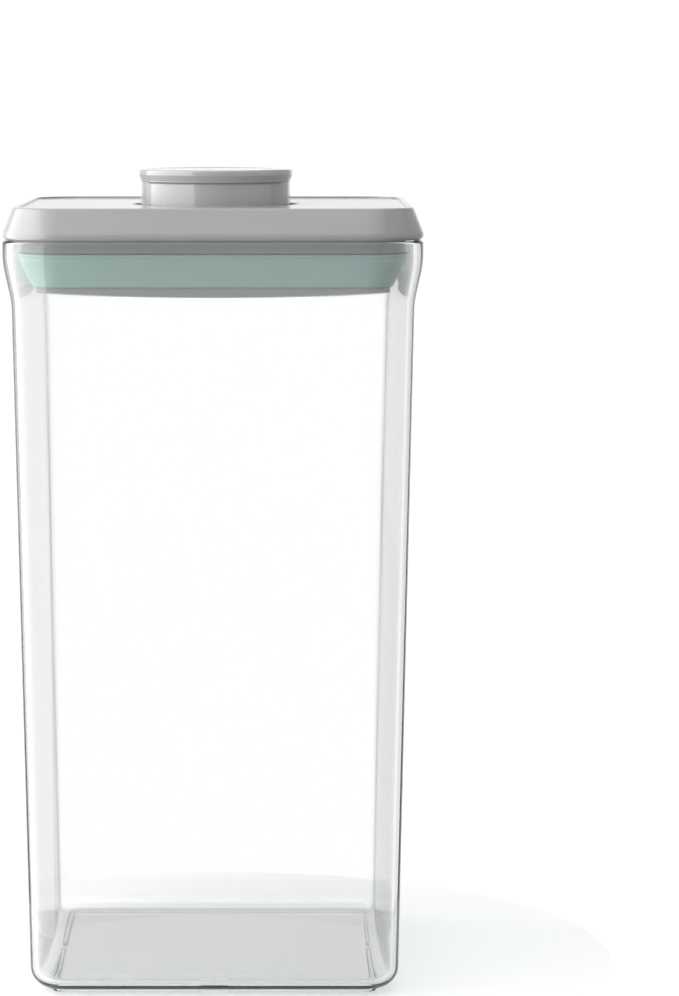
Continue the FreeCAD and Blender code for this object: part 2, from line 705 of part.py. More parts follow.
def make_seal_plate():
    """Grey plate under the seal, with four guide posts and four hooks that the levers lift."""
    body = new_body("seal_plate", LID_EDGE)
    top = -size.seal_depth
    low = -(size.seal_depth + size.plate_thick)
    pad(body, "plate", low, top, [round_square(size.plate_half)], [(0, 0, size.plate_hole)])
    posts = four_places(size.post_place)
    circles = [(x, y, size.post_radius) for x, y in posts]
    circles += [(x, y, size.post_bore) for x, y in posts]
    pad(body, "guide_posts", top, -size.post_top, circles=circles)
    inner = size.lever_width * 0.5 + size.hook_gap
    outer = inner + size.hook_leg
    low_x = size.hook_place - size.hook_radius
    high_x = size.hook_place + size.hook_radius
    legs = pad(body, "hook_legs", top, -size.hook_depth, [
        rectangle(low_x, high_x, inner, outer),
        rectangle(low_x, high_x, -outer, -inner),
    ])
    bar = side_feature(body, "Pad", "hook_bar", outer * 2,
                       circles=[(size.hook_place, -size.hook_depth, size.hook_radius)])
    around(body, "hooks", [legs, bar])
    return body


def make_plate_cover():
    """Crowned cover on the underside of the seal plate, dished inside to clear the button guide."""
    top = -(size.seal_depth + size.plate_thick)
    low = top - size.cover_edge - size.cover_crown
    blank = new_body("cover_blank", LID_EDGE)
    pad(blank, "slab", low, top, [round_square(size.plate_half)])
    pocket(blank, "dish", top - size.dish_depth, top, circles=[(0, 0, size.plate_hole - PAST)])
    dome = doc.addObject("Part::Sphere", "crown_sphere")
    radius = "(Sizes.plate_half ^ 2 + Sizes.cover_crown ^ 2) / (2 * Sizes.cover_crown)"
    dome.setExpression("Radius", radius)
    dome.setExpression("Placement.Base.z", f"{(LID_EDGE + low).text} + {radius}")
    cover = doc.addObject("Part::Common", "plate_cover")
    cover.Label = "plate_cover"
    cover.Base = blank
    cover.Tool = dome
    return cover


# ---------------------------------------------------------------- button

def make_button_cap():
    """Button top: dished face, flared lip, spigot into the sleeve, and the latch plunger."""
    body = new_body("button_cap", LID_EDGE)
    under = size.button_top - size.cap_thick
    spigot = size.button_radius - size.button_wall - size.spigot_gap
    spigot_low = size.sleeve_height - size.spigot_depth
    pin_low = size.rotor_low + FIT_GAP
    plunger_low = size.rotor_low + size.rotor_high + FIT_GAP
    lip_inside = size.button_rim - size.lip_width
    revolve(body, "cap", [
        (0, pin_low),
        (size.latch_pin, pin_low, size.latch_round),
        (size.latch_pin, plunger_low),
        (size.rotor_radius, plunger_low, size.latch_round),
        (size.rotor_radius, under, size.lip_round),
        (spigot - size.spigot_wall, under, size.lip_round),
        (spigot - size.spigot_wall, spigot_low),
        (spigot, spigot_low),
        (spigot, size.sleeve_height),
        (size.button_radius, size.sleeve_height, size.latch_round),
        (size.button_radius, size.sleeve_height + size.cap_neck, size.lip_round),
        (size.button_rim, size.button_top - size.lip_height, size.lip_round),
        (size.button_rim, size.button_top, size.lip_round),
        (lip_inside, size.button_top, size.lip_round),
        (lip_inside - PAST, size.button_top - size.dish_step, size.lip_round),
        (0, size.button_top - size.dish_low),
    ])
    return body


def make_button_sleeve():
    """Button side wall: lever notches, lugs, screw bosses, and a long grip recess front and back."""
    body = new_body("button_sleeve", LID_EDGE)
    inside = size.button_radius - size.button_wall
    top = size.sleeve_height - size.joint_gap
    revolve(body, "tube", [
        (inside, 0),
        (size.button_radius, 0),
        (size.button_radius, top),
        (inside, top),
    ])
    grip_floor = size.button_radius - size.grip_depth
    grip_outside = size.button_radius + PAST
    groove_front(body, "grip", [
        (grip_floor, size.grip_low),
        (grip_outside, size.grip_low),
        (grip_outside, size.sleeve_height + PAST),
        (grip_floor, size.sleeve_height + PAST),
    ], size.grip_angle * 2)
    around(body, "grips", [body.Tip], 2)
    notch_half = size.lever_width * 0.5 + size.notch_gap
    notch = pocket(body, "notch", 0, size.notch_height,
                   [rectangle(inside - PAST, size.button_radius + PAST, -notch_half, notch_half)])
    around(body, "notches", [notch])
    lug = pad(body, "lug", 0, size.lug_height, turn=45.0, outlines=[
        rectangle(size.button_radius - size.lug_reach, size.button_radius + size.lug_reach,
                  -size.lug_half, size.lug_half)
    ])
    around(body, "lugs", [lug])
    boss = pad(body, "boss", size.pusher_low + size.pusher_thick,
               size.sleeve_height - size.sleeve_boss_top, turn=45.0, circles=[
                   (size.pusher_screw_place, 0, size.sleeve_boss),
                   (size.pusher_screw_place, 0, size.sleeve_boss_bore),
               ])
    around(body, "bosses", [boss])
    return body


def make_button_pusher():
    """Spider in the foot of the button: its disc presses on the levers' inner tips."""
    body = new_body("button_pusher", LID_EDGE)
    top = size.pusher_low + size.pusher_thick
    reach = size.button_radius - size.button_wall - FIT_GAP
    bore = size.latch_bore + size.latch_wall + OVERLAP
    pad(body, "disc", size.pusher_low, top, circles=[(0, 0, size.pusher_radius), (0, 0, bore)])
    arm = pad(body, "arm", size.pusher_low, top, turn=45.0, outlines=[
        rectangle(size.pusher_radius - PAST, reach, -size.pusher_arm_half, size.pusher_arm_half)
    ])
    hole = pocket(body, "arm_hole", size.pusher_low, top, turn=45.0,
                  circles=[(size.pusher_screw_place, 0, size.pusher_screw_hole)])
    around(body, "arms", [arm, hole])
    return body


# ---------------------------------------------------------------- levers

def make_lever(side, turn):
    """A rocking lever: long arm under the pusher, short arm under a hook of the seal plate."""
    body = new_body("lever_" + side)
    tip = size.lever_thick * 0.5
    blade = [
        (-(size.long_arm + tip), -tip, size.lever_round),
        (size.short_arm + tip, -tip, size.lever_round),
        (size.short_arm + tip, tip, size.lever_round),
        (-(size.long_arm + tip), tip, size.lever_round),
    ]
    side_feature(body, "Pad", "blade", size.lever_width, [blade])
    side_feature(body, "Pad", "boss", size.lever_width,
                 circles=[(0, 0, size.pin_radius + size.lever_boss)])
    side_feature(body, "Pocket", "bore", size.lever_width + PAST,
                 circles=[(0, 0, size.pin_radius + size.running_fit)])
    around_axis = FreeCAD.Rotation(FreeCAD.Vector(0, 0, 1), turn)
    tilt = FreeCAD.Rotation(FreeCAD.Vector(0, 1, 0), size.lever_tilt.value)
    body.Placement = FreeCAD.Placement(FreeCAD.Vector(0, 0, 0), around_axis * tilt)
    place_on_circle(body, turn)
    return body


def place_on_circle(piece, turn):
    """Puts a piece's own origin on the lever pivots' circle."""
    bind(piece, "Placement.Base.x", size.pivot_place * round(math.cos(math.radians(turn)), 6))
    bind(piece, "Placement.Base.y", size.pivot_place * round(math.sin(math.radians(turn)), 6))
    bind(piece, "Placement.Base.z", LID_EDGE - size.pivot_depth)


def make_lever_pins():
    """Four steel pins, each pressed into a pair of frame brackets."""
    length = size.lever_width + size.pin_reach * 2
    pins = []
    for side, turn in LEVER_SIDES:
        pin = new_body("pin_" + side, turn=turn)
        side_feature(pin, "Pad", "shank", length, circles=[(0, 0, size.pin_radius)])
        place_on_circle(pin, turn)
        pins.append(pin)
    return compound("lever_pins", pins)


# ---------------------------------------------------------------- latch

def make_latch_guide():
    """Ribbed cup in the hub, closed below, where the spring stands and the rotor slides."""
    body = new_body("latch_guide", LID_EDGE)
    outside = size.latch_bore + size.latch_wall
    cup_low = -(size.spring_seat + size.spring_floor)
    flange_low = size.hub_thick - size.guide_depth
    flange_top = flange_low + size.latch_flange
    flange_radius = size.hub_radius - size.running_fit
    revolve(body, "cup", [
        (0, cup_low),
        (outside, cup_low, size.latch_round),
        (outside, flange_low),
        (flange_radius, flange_low),
        (flange_radius, flange_top, size.latch_round),
        (outside, flange_top, size.latch_round),
        (outside, size.latch_top),
        (size.latch_bore, size.latch_top, size.latch_round),
        (size.latch_bore, -size.spring_seat),
        (0, -size.spring_seat),
    ])
    rib = pad(body, "rib", size.rib_low, size.latch_top - size.latch_round, turn=45.0, outlines=[
        rectangle(size.rotor_radius + FIT_GAP, size.latch_bore + OVERLAP, -size.rib_half, size.rib_half)
    ])
    around(body, "ribs", [rib])
    return body


def make_latch_rotor():
    """Ring on the cap's pin, with four fins that turn in under the guide's ribs."""
    body = new_body("latch_rotor", LID_EDGE)
    top = size.rotor_low + size.rotor_high
    bore = size.latch_pin + size.running_fit
    revolve(body, "ring", [
        (bore, size.rotor_low),
        (size.rotor_radius, size.rotor_low, size.latch_round),
        (size.rotor_radius, top, size.latch_round),
        (bore, top),
    ])
    fin = pad(body, "fin", size.rotor_low + size.fin_low, top - size.fin_top, [
        rectangle(size.rotor_radius - OVERLAP, size.latch_bore - size.fin_play,
                  -size.rib_half, size.rib_half)
    ])
    around(body, "fins", [fin])
    return body


def make_rotor_washer():
    """Thin steel washer between the turning rotor and the spring."""
    body = new_body("rotor_washer", LID_EDGE)
    top = size.rotor_low - size.washer_play
    pad(body, "washer", top - size.washer_thick, top, circles=[
        (0, 0, size.rotor_radius - size.running_fit),
        (0, 0, size.latch_pin + size.washer_gap),
    ])
    return body


def make_return_spring():
    """Open coil spring from the cup's floor up to the washer."""
    body = new_body("return_spring", LID_EDGE)
    wire_radius = size.spring_wire * 0.5
    low = wire_radius - size.spring_seat
    high = size.rotor_low - size.washer_play - size.washer_thick - size.spring_play - wire_radius
    sketch = new_sketch(body, "wire_sketch", "XZ_Plane")
    add_circle(sketch, size.spring_radius, low, wire_radius)
    coil = body.newObject("PartDesign::AdditiveHelix", "coil")
    coil.Profile = sketch
    coil.ReferenceAxis = (origin_feature(body, "Z_Axis"), [""])
    coil.Mode = "height-turns-angle"
    coil.Turns = COIL_TURNS
    coil.Angle = 0
    bind(coil, "Height", high - low)
    check_feature(body, coil, 0.0)
    return body


# ---------------------------------------------------------------- the whole canister

def make_screws():
    """The three sets of four screws."""
    pusher_place = size.pusher_screw_place * round(math.sqrt(0.5), 6)
    return [
        screw_group("frame_screws", four_places(size.screw_place),
                    -(size.band_depth + size.frame_head), -size.band_depth,
                    size.frame_head_radius, size.frame_shank, size.frame_shank_end),
        screw_group("plate_screws", four_places(size.post_place),
                    -size.post_top, size.plate_head - size.post_top,
                    size.plate_head_radius, size.plate_shank, -size.plate_shank_end),
        screw_group("pusher_screws", four_places(pusher_place),
                    size.pusher_low - size.pusher_head, size.pusher_low,
                    size.pusher_head_radius, size.pusher_shank, size.pusher_shank_end),
    ]


def make_all():
    nodes = [
        make_container_body(),
        make_lid_shell(),
        make_lid_frame(),
        make_seal_ring(),
        make_seal_plate(),
        make_plate_cover(),
        make_button_cap(),
        make_button_sleeve(),
        make_button_pusher(),
        make_latch_guide(),
        make_latch_rotor(),
        make_rotor_washer(),
        make_return_spring(),
        make_lever_pins(),
    ]
    nodes += [make_lever(side, turn) for side, turn in LEVER_SIDES]
    nodes += make_screws()
    return nodes


def export(nodes):
    """Checks every object and every node, then writes one STEP file for each node."""
    doc.recompute()
    for item in doc.Objects:
        if "Invalid" in item.State or "Error" in item.State:
            raise RuntimeError(f"{item.Label}: {item.State}")
    for node in nodes:
        if node.Shape.isNull() or not node.Shape.isValid():
            raise RuntimeError(f"{node.Label} has no valid shape")
    os.makedirs("parts", exist_ok=True)
    for node in nodes:
        node.Shape.exportStep(f"parts/{node.Label}.step")
        box = node.Shape.optimalBoundingBox(False, False)
        print(f"{node.Label:16s} {len(node.Shape.Solids)} solids  {node.Shape.Volume / 1000:8.2f} cm3"
              f"  z {box.ZMin:7.2f} to {box.ZMax:7.2f}  half {box.XMax:6.2f}")


export(make_all())
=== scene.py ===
import json
import math

import bmesh
import bpy
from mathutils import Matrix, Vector


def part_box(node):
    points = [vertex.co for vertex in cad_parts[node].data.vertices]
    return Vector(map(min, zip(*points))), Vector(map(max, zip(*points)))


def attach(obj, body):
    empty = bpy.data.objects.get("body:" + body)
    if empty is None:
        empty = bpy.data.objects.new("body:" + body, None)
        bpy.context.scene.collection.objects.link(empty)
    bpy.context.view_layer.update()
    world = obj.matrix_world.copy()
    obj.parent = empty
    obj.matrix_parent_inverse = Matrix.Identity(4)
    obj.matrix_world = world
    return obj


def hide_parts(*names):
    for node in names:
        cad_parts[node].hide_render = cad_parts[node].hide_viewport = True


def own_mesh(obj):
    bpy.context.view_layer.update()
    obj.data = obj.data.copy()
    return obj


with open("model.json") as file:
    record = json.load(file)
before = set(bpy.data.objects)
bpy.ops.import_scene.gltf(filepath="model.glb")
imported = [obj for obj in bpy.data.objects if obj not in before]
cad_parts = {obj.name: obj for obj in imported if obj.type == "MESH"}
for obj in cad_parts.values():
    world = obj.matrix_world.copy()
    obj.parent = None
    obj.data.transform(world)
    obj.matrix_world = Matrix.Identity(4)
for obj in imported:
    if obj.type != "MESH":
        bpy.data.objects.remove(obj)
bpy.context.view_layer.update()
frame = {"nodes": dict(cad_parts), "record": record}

MM = 0.001
QUARTER_TURN = math.pi / 2
FULL_TURN = 2 * math.pi
# Steps in a quarter of a plan corner, in a rounded edge, and round a full circle.
CORNER_STEPS = 20
ROUND_STEPS = 6
ROUND_COUNT = 144

# Every square outline of the canister has its corner arcs about the same four centres.
CORNER_CENTRE = 47.0 * MM
CORNERS = ((1, 1), (-1, 1), (-1, -1), (1, -1))


# ---------------------------------------------------------------- mesh helpers

def low(node):
    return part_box(node)[0]


def high(node):
    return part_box(node)[1]


def half_width(node):
    """Half of a node's width along X."""
    return (high(node).x - low(node).x) / 2


def new_object(name, bm, material, sharp_degrees=40.0):
    """Turns a bmesh into an object, smooth but for edges sharper than the limit."""
    bmesh.ops.remove_doubles(bm, verts=bm.verts, dist=1e-7)
    bmesh.ops.recalc_face_normals(bm, faces=bm.faces)
    limit = math.radians(sharp_degrees)
    for face in bm.faces:
        face.smooth = True
    for edge in bm.edges:
        edge.smooth = len(edge.link_faces) == 2 and edge.calc_face_angle(0.0) < limit
    mesh = bpy.data.meshes.new(name)
    bm.to_mesh(mesh)
    bm.free()
    piece = bpy.data.objects.new(name, mesh)
    bpy.context.scene.collection.objects.link(piece)
    mesh.materials.append(material)
    return piece


def rounded(corners, steps=ROUND_STEPS, closed=True):
    """Points of an outline through (a, b) or (a, b, radius) corners, with an arc at each radius."""
    points = []
    count = len(corners)
    for i, corner in enumerate(corners):
        here = Vector(corner[:2])
        if len(corner) == 2 or (not closed and i in (0, count - 1)):
            points.append(here)
            continue
        into = (here - Vector(corners[i - 1][:2])).normalized()
        out = (Vector(corners[(i + 1) % count][:2]) - here).normalized()
        turn = into.angle_signed(out)
        if abs(turn) < 1e-4:
            points.append(here)
            continue
        reach = corner[2] * math.tan(abs(turn) / 2)
        start = here - into * reach
        side = Vector((-into.y, into.x)) * (-1 if turn > 0 else 1)
        centre = start + side * corner[2]
        arm = start - centre
        for step in range(steps + 1):
            angle = -turn * step / steps
            points.append(centre + Vector((
                arm.x * math.cos(angle) - arm.y * math.sin(angle),
                arm.x * math.sin(angle) + arm.y * math.cos(angle),
            )))
    return points


def square_loop(half):
    """Plan points of a rounded square of this half width, anticlockwise."""
    points = []
    radius = half - CORNER_CENTRE
    for quarter, (sx, sy) in enumerate(CORNERS):
        for step in range(CORNER_STEPS + 1):
            angle = QUARTER_TURN * (quarter + step / CORNER_STEPS)
            points.append((
                sx * CORNER_CENTRE + radius * math.cos(angle),
                sy * CORNER_CENTRE + radius * math.sin(angle),
            ))
    return points


def circle_loop(radius, count=ROUND_COUNT):
    turn = FULL_TURN / count
    return [(radius * math.cos(turn * i), radius * math.sin(turn * i)) for i in range(count)]


def add_loop(bm, plan, z):
    return [bm.verts.new((x, y, z)) for x, y in plan]


def bridge(bm, below, above):
    """Quads between two loops of the same length."""
    count = len(below)
    for i in range(count):
        bm.faces.new((below[i], below[(i + 1) % count], above[(i + 1) % count], above[i]))


def sweep_square(bm, profile, closed=True):
    """Runs a (half width, height) outline round the square; returns its loops."""
    loops = [add_loop(bm, square_loop(half), z) for half, z in profile]
    pairs = list(zip(loops, loops[1:]))
    if closed:
        pairs.append((loops[-1], loops[0]))
    for below, above in pairs:
        bridge(bm, below, above)
    return loops


def turn_round(bm, profile):
    """Turns a (radius, height) outline about the vertical axis; a zero radius is a pole."""
    loops = []
    for radius, z in profile:
        loops.append(add_loop(bm, circle_loop(radius) if radius > 0 else [(0, 0)], z))
    for below, above in zip(loops, loops[1:]):
        if len(below) > 1 and len(above) > 1:
            bridge(bm, below, above)
            continue
        pole, ring = (below[0], above) if len(below) == 1 else (above[0], below)
        for i in range(ROUND_COUNT):
            bm.faces.new((ring[i], ring[(i + 1) % ROUND_COUNT], pole))


def fill_between(bm, inner, outer):
    """A flat band of triangles from a round hole's loop to the square's loop round it."""
    def angle(vert):
        return math.atan2(vert.co.y, vert.co.x) % FULL_TURN

    def edge_middles(loop):
        """The angle of each edge's middle, going round once."""
        turns = [angle(vert) for vert in loop]
        turns.append(turns[0] + FULL_TURN)
        return [(a + b) / 2 for a, b in zip(turns, turns[1:])] + [math.inf]

    inner = sorted(inner, key=angle)
    outer = sorted(outer, key=angle)
    inner_middles, outer_middles = edge_middles(inner), edge_middles(outer)
    i = j = 0
    while i < len(inner) or j < len(outer):
        a, b = inner[i % len(inner)], outer[j % len(outer)]
        if inner_middles[i] <= outer_middles[j]:
            i += 1
            bm.faces.new((a, b, inner[i % len(inner)]))
        else:
            j += 1
            bm.faces.new((a, b, outer[j % len(outer)]))


# ---------------------------------------------------------------- material helpers

# The part of a noise's 0 to 1 range that its values really fill.
NOISE_SPAN = (0.3, 0.7)


def new_material(name):
    material = bpy.data.materials.new(name)
    material.use_nodes = True
    tree = material.node_tree
    return material, tree, tree.nodes["Principled BSDF"]


def add_node(tree, kind, values=(), **settings):
    """A shader node with its attributes and its named input values set."""
    node = tree.nodes.new("ShaderNode" + kind)
    for name, value in settings.items():
        setattr(node, name, value)
    for name, value in dict(values).items():
        node.inputs[name].default_value = value
    return node


def noise(tree, scale, detail, stretch=(1, 1, 1)):
    """Noise in the object's own space; scale is in waves per metre."""
    place = add_node(tree, "TexCoord")
    shape = add_node(tree, "Mapping", {"Scale": stretch})
    grain = add_node(tree, "TexNoise", {"Scale": scale, "Detail": detail})
    tree.links.new(place.outputs["Object"], shape.inputs["Vector"])
    tree.links.new(shape.outputs["Vector"], grain.inputs["Vector"])
    return grain.outputs["Fac"]


def ramp_value(tree, source, low_value, high_value):
    """Spreads a 0 to 1 pattern over a range of values."""
    spread = add_node(tree, "MapRange", {
        "From Min": NOISE_SPAN[0],
        "From Max": NOISE_SPAN[1],
        "To Min": low_value,
        "To Max": high_value,
    })
    tree.links.new(source, spread.inputs["Value"])
    return spread.outputs["Result"]


def mottle_and_shade(tree, source, first, second, span=NOISE_SPAN):
    """Spreads the span of a 0 to 1 pattern between two colours."""
    ramp = add_node(tree, "ValToRGB")
    for element, place, colour in zip(ramp.color_ramp.elements, span, (first, second)):
        element.position = place
        element.color = (*colour, 1)
    tree.links.new(source, ramp.inputs["Fac"])
    return ramp.outputs["Color"]


def bump(tree, source, depth):
    """A bump whose full height is depth metres."""
    node = add_node(tree, "Bump", {"Strength": 1.0, "Distance": depth})
    tree.links.new(source, node.inputs["Height"])
    return node.outputs["Normal"]


def moulded_plastic(name, colour, rough, gloss=0.0):
    """Injection-moulded plastic: fine eroded grain, faint flow marks, a glossy skin over it."""
    spread = 0.012
    grain_depth = 0.004 * MM
    material, tree, shader = new_material(name)
    grain = noise(tree, 2600.0, 2.0)
    flow = noise(tree, 28.0, 4.0, (1, 1, 3))
    dark = tuple(max(channel - spread, 0) for channel in colour)
    light = tuple(channel + spread for channel in colour)
    tree.links.new(mottle_and_shade(tree, flow, dark, light), shader.inputs["Base Color"])
    tree.links.new(ramp_value(tree, flow, rough - 0.04, rough + 0.05), shader.inputs["Roughness"])
    tree.links.new(bump(tree, grain, grain_depth), shader.inputs["Normal"])
    shader.inputs["IOR"].default_value = 1.49
    shader.inputs["Coat Weight"].default_value = gloss
    shader.inputs["Coat Roughness"].default_value = 0.07
    return material


def clear_plastic():
    """Polished clear jar plastic, with painted grey shade where it is seen edge-on, and greyer
    through a long way of it.

    Light for the shadows passes straight through.
    """
    material, tree, shader = new_material("jar_clear")
    # Painted shade: the wall's colour turns dark grey where it is seen edge-on, standing in for the
    # darker light seen along the wall there.
    face_on, edge_on_shade = (0.99, 0.993, 0.992), (0.09, 0.094, 0.094)
    rim = add_node(tree, "LayerWeight", {"Blend": 0.5})
    painted_edge_shade = mottle_and_shade(tree, rim.outputs["Facing"], face_on, edge_on_shade, (0.42, 1.0))
    tree.links.new(painted_edge_shade, shader.inputs["Base Color"])
    shader.inputs["Transmission Weight"].default_value = 1.0
    shader.inputs["IOR"].default_value = 1.5
    wave = noise(tree, 22.0, 2.0)
    tree.links.new(ramp_value(tree, wave, 0.0, 0.012), shader.inputs["Roughness"])
    tree.links.new(bump(tree, wave, 0.03 * MM), shader.inputs["Normal"])
    ray = add_node(tree, "LightPath")
    through = add_node(tree, "BsdfTransparent", {"Color": (0.96, 0.975, 0.97, 1)})
    choose = add_node(tree, "MixShader")
    output = tree.nodes["Material Output"]
    tree.links.new(ray.outputs["Is Shadow Ray"], choose.inputs["Fac"])
    tree.links.new(shader.outputs["BSDF"], choose.inputs[1])
    tree.links.new(through.outputs["BSDF"], choose.inputs[2])
    tree.links.new(choose.outputs["Shader"], output.inputs["Surface"])
    loss = add_node(tree, "VolumeAbsorption", {"Color": (0.40, 0.42, 0.42, 1), "Density": 25.0})
    tree.links.new(loss.outputs["Volume"], output.inputs["Volume"])
    return material


def silicone():
    """Mint green silicone: soft satin skin, a little light inside, faint dust and mould flow."""
    material, tree, shader = new_material("seal_mint")
    flow = noise(tree, 40.0, 4.0)
    skin = noise(tree, 1800.0, 2.0)
    dark, light = (0.355, 0.48, 0.452), (0.38, 0.505, 0.477)
    tree.links.new(mottle_and_shade(tree, flow, dark, light), shader.inputs["Base Color"])
    tree.links.new(ramp_value(tree, flow, 0.38, 0.5), shader.inputs["Roughness"])
    tree.links.new(bump(tree, skin, 0.006 * MM), shader.inputs["Normal"])
    shader.inputs["IOR"].default_value = 1.42
    shader.inputs["Subsurface Weight"].default_value = 0.25
    shader.inputs["Subsurface Radius"].default_value = (0.8 * MM, 1.2 * MM, 1.0 * MM)
    shader.inputs["Subsurface Scale"].default_value = 1.0
    shader.inputs["Sheen Weight"].default_value = 0.08
    return material


def drawn_steel():
    """Bright drawn or turned steel with fine tool lines."""
    material, tree, shader = new_material("steel")
    lines = noise(tree, 900.0, 2.0, (1, 1, 12))
    dark, light = (0.5, 0.5, 0.51), (0.66, 0.66, 0.67)
    tree.links.new(mottle_and_shade(tree, lines, dark, light), shader.inputs["Base Color"])
    tree.links.new(ramp_value(tree, lines, 0.2, 0.36), shader.inputs["Roughness"])
    tree.links.new(bump(tree, lines, 0.002 * MM), shader.inputs["Normal"])
    shader.inputs["Metallic"].default_value = 1.0
    return material


JAR_CLEAR = clear_plastic()
LID_GREY = moulded_plastic("lid_grey", (0.35, 0.35, 0.35), 0.32, gloss=0.55)
BUTTON_GREY = moulded_plastic("button_grey", (0.44, 0.44, 0.44), 0.22, gloss=0.85)
FRAME_GREY = moulded_plastic("frame_grey", (0.385, 0.39, 0.39), 0.42)
INNER_PLASTIC = moulded_plastic("inner_plastic", (0.68, 0.68, 0.66), 0.38)
SEAL_MINT = silicone()
STEEL = drawn_steel()
SLOT_MATERIALS = {
    "jar_clear": JAR_CLEAR,
    "lid_grey": LID_GREY,
    "button_grey": BUTTON_GREY,
    "frame_grey": FRAME_GREY,
    "inner_plastic": INNER_PLASTIC,
    "seal_mint": SEAL_MINT,
    "steel": STEEL,
}
NODE_SLOTS = {part["node"]: part["material_slot"] for part in frame["record"]["subparts"]}


def stand_for(piece, node, body):
    """The piece rides on the body and replaces the node, which is hidden."""
    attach(piece, body)
    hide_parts(node)


def dress_cad_nodes():
    """Gives every CAD node the material of its slot."""
    for node, slot in NODE_SLOTS.items():
        mesh = frame["nodes"][node].data
        mesh.materials.clear()
        mesh.materials.append(SLOT_MATERIALS[slot])


# ---------------------------------------------------------------- jar

JAR_WALL = 2.4 * MM
RIM_WALL = 3.0 * MM


def foot_plan(half, gap_half):
    """(x, y, in a gap) round the square, with a doubled point at each end of each foot gap."""
    plan = [(x, y, False) for x, y in square_loop(half)]
    per_corner = CORNER_STEPS + 1
    middles = []
    for quarter in range(4):
        angle = QUARTER_TURN * (quarter + 1)
        out = Vector((math.cos(angle), math.sin(angle)))
        along = Vector((-out.y, out.x))
        ends = ((-gap_half, False), (-gap_half, True), (gap_half, True), (gap_half, False))
        middles.append([(*(out * half + along * offset), gap) for offset, gap in ends])
    result = []
    for quarter in range(4):
        result += plan[quarter * per_corner:(quarter + 1) * per_corner]
        result += middles[quarter]
    return result


def make_jar():
    """Clear jar: rounded base, drafted wall, flared mouth with a soft rim, four L-shaped feet."""
    rim_half = half_width("container_body")
    rim_z = high("container_body").z
    base_half, neck_half = 58.3 * MM, 62.8 * MM
    under, floor_top = 1.2 * MM, 3.8 * MM
    flare_low, flare_high, flare = 218.5 * MM, 230.5 * MM, 28.0 * MM
    base_bend, rim_round = 6.5 * MM, 0.9 * MM
    foot_in, foot_out, foot_round = 49.5 * MM, 51.5 * MM, 0.35 * MM
    gap_half = 4.2 * MM
    inner_edge = CORNER_CENTRE + 1.0 * MM
    feet = rounded([
        (foot_in, under),
        (foot_in, 0.0, foot_round),
        (foot_out, 0.0, foot_round),
        (foot_out, under),
    ], steps=4, closed=False)
    wall = rounded([
        (foot_out, under),
        (base_half, under, base_bend),
        (neck_half, flare_low, flare),
        (rim_half, flare_high, flare),
        (rim_half, rim_z, rim_round),
        (rim_half - RIM_WALL, rim_z, rim_round),
        (rim_half - RIM_WALL, flare_high, flare),
        (neck_half - JAR_WALL, flare_low, flare),
        (base_half - JAR_WALL, floor_top, base_bend - JAR_WALL),
        (inner_edge, floor_top),
    ], steps=8, closed=False)
    profile = [(inner_edge, under)] + feet + wall[1:]
    bm = bmesh.new()
    loops = []
    for half, z in profile:
        plan = foot_plan(half, gap_half)
        loops.append([bm.verts.new((x, y, max(z, under) if gap else z)) for x, y, gap in plan])
    for below, above in zip(loops, loops[1:]):
        bridge(bm, below, above)
    bm.faces.new(loops[0])
    bm.faces.new(loops[-1])
    return new_object("jar", bm, JAR_CLEAR, 30.0)


# ---------------------------------------------------------------- lid

LID_EDGE = high("container_body").z + 0.3 * MM
LID_TOP = high("lid_shell").z


def lid_z(height):
    """A height in millimetres above the lid's lower edge."""
    return LID_EDGE + height * MM


def add_tube(bm, x, y, outside, inside, z_low, z_high):
    """A closed upright tube."""
    sides = 32
    loops = []
    for radius, z in ((inside, z_low), (outside, z_low), (outside, z_high), (inside, z_high)):
        plan = [(x + px, y + py) for px, py in circle_loop(radius, sides)]
        loops.append(add_loop(bm, plan, z))
    for below, above in zip(loops, loops[1:] + loops[:1]):
        bridge(bm, below, above)


def make_lid_shell():
    """Grey cover: short skirt, sloping sides, a fine border round the flat top, screw bosses."""
    edge_half, top_half = half_width("lid_shell"), 62.3 * MM
    wall = 2.2 * MM
    skirt = lid_z(2.0)
    under = LID_TOP - wall
    top_face = LID_TOP - 0.5 * MM
    border = top_half - 2.0 * MM
    opening = 26.8 * MM
    lip = 0.4 * MM
    inner_edge = CORNER_CENTRE + 10.0 * MM
    boss, boss_half, boss_bore = 42.0 * MM, 3.2 * MM, 1.45 * MM
    boss_low, boss_high = lid_z(-2.15), under + 0.2 * MM
    profile = rounded([
        (inner_edge, under),
        (top_half - wall, under, 1.0 * MM),
        (edge_half - wall, skirt, 1.0 * MM),
        (edge_half - wall, LID_EDGE, 0.2 * MM),
        (edge_half, LID_EDGE, 1.2 * MM),
        (edge_half, skirt, 3.0 * MM),
        (top_half, LID_TOP, 0.8 * MM),
        (border, LID_TOP, 0.15 * MM),
        (border, top_face, 0.15 * MM),
        (inner_edge, top_face),
    ], closed=False)
    bm = bmesh.new()
    loops = sweep_square(bm, profile, closed=False)
    hole = [add_loop(bm, circle_loop(opening), under)]
    for step in range(ROUND_STEPS + 1):
        angle = QUARTER_TURN * step / ROUND_STEPS
        radius = opening + lip * (1 - math.cos(angle))
        z = top_face - lip * (1 - math.sin(angle))
        hole.append(add_loop(bm, circle_loop(radius), z))
    hole.append(add_loop(bm, circle_loop(opening + 2 * lip), top_face))
    for below, above in zip(hole, hole[1:]):
        bridge(bm, below, above)
    fill_between(bm, hole[0], loops[0])
    fill_between(bm, hole[-1], loops[-1])
    for sx, sy in CORNERS:
        add_tube(bm, sx * boss, sy * boss, boss_half, boss_bore, boss_low, boss_high)
    return new_object("lid_cover", bm, LID_GREY, 30.0)


# ---------------------------------------------------------------- seal

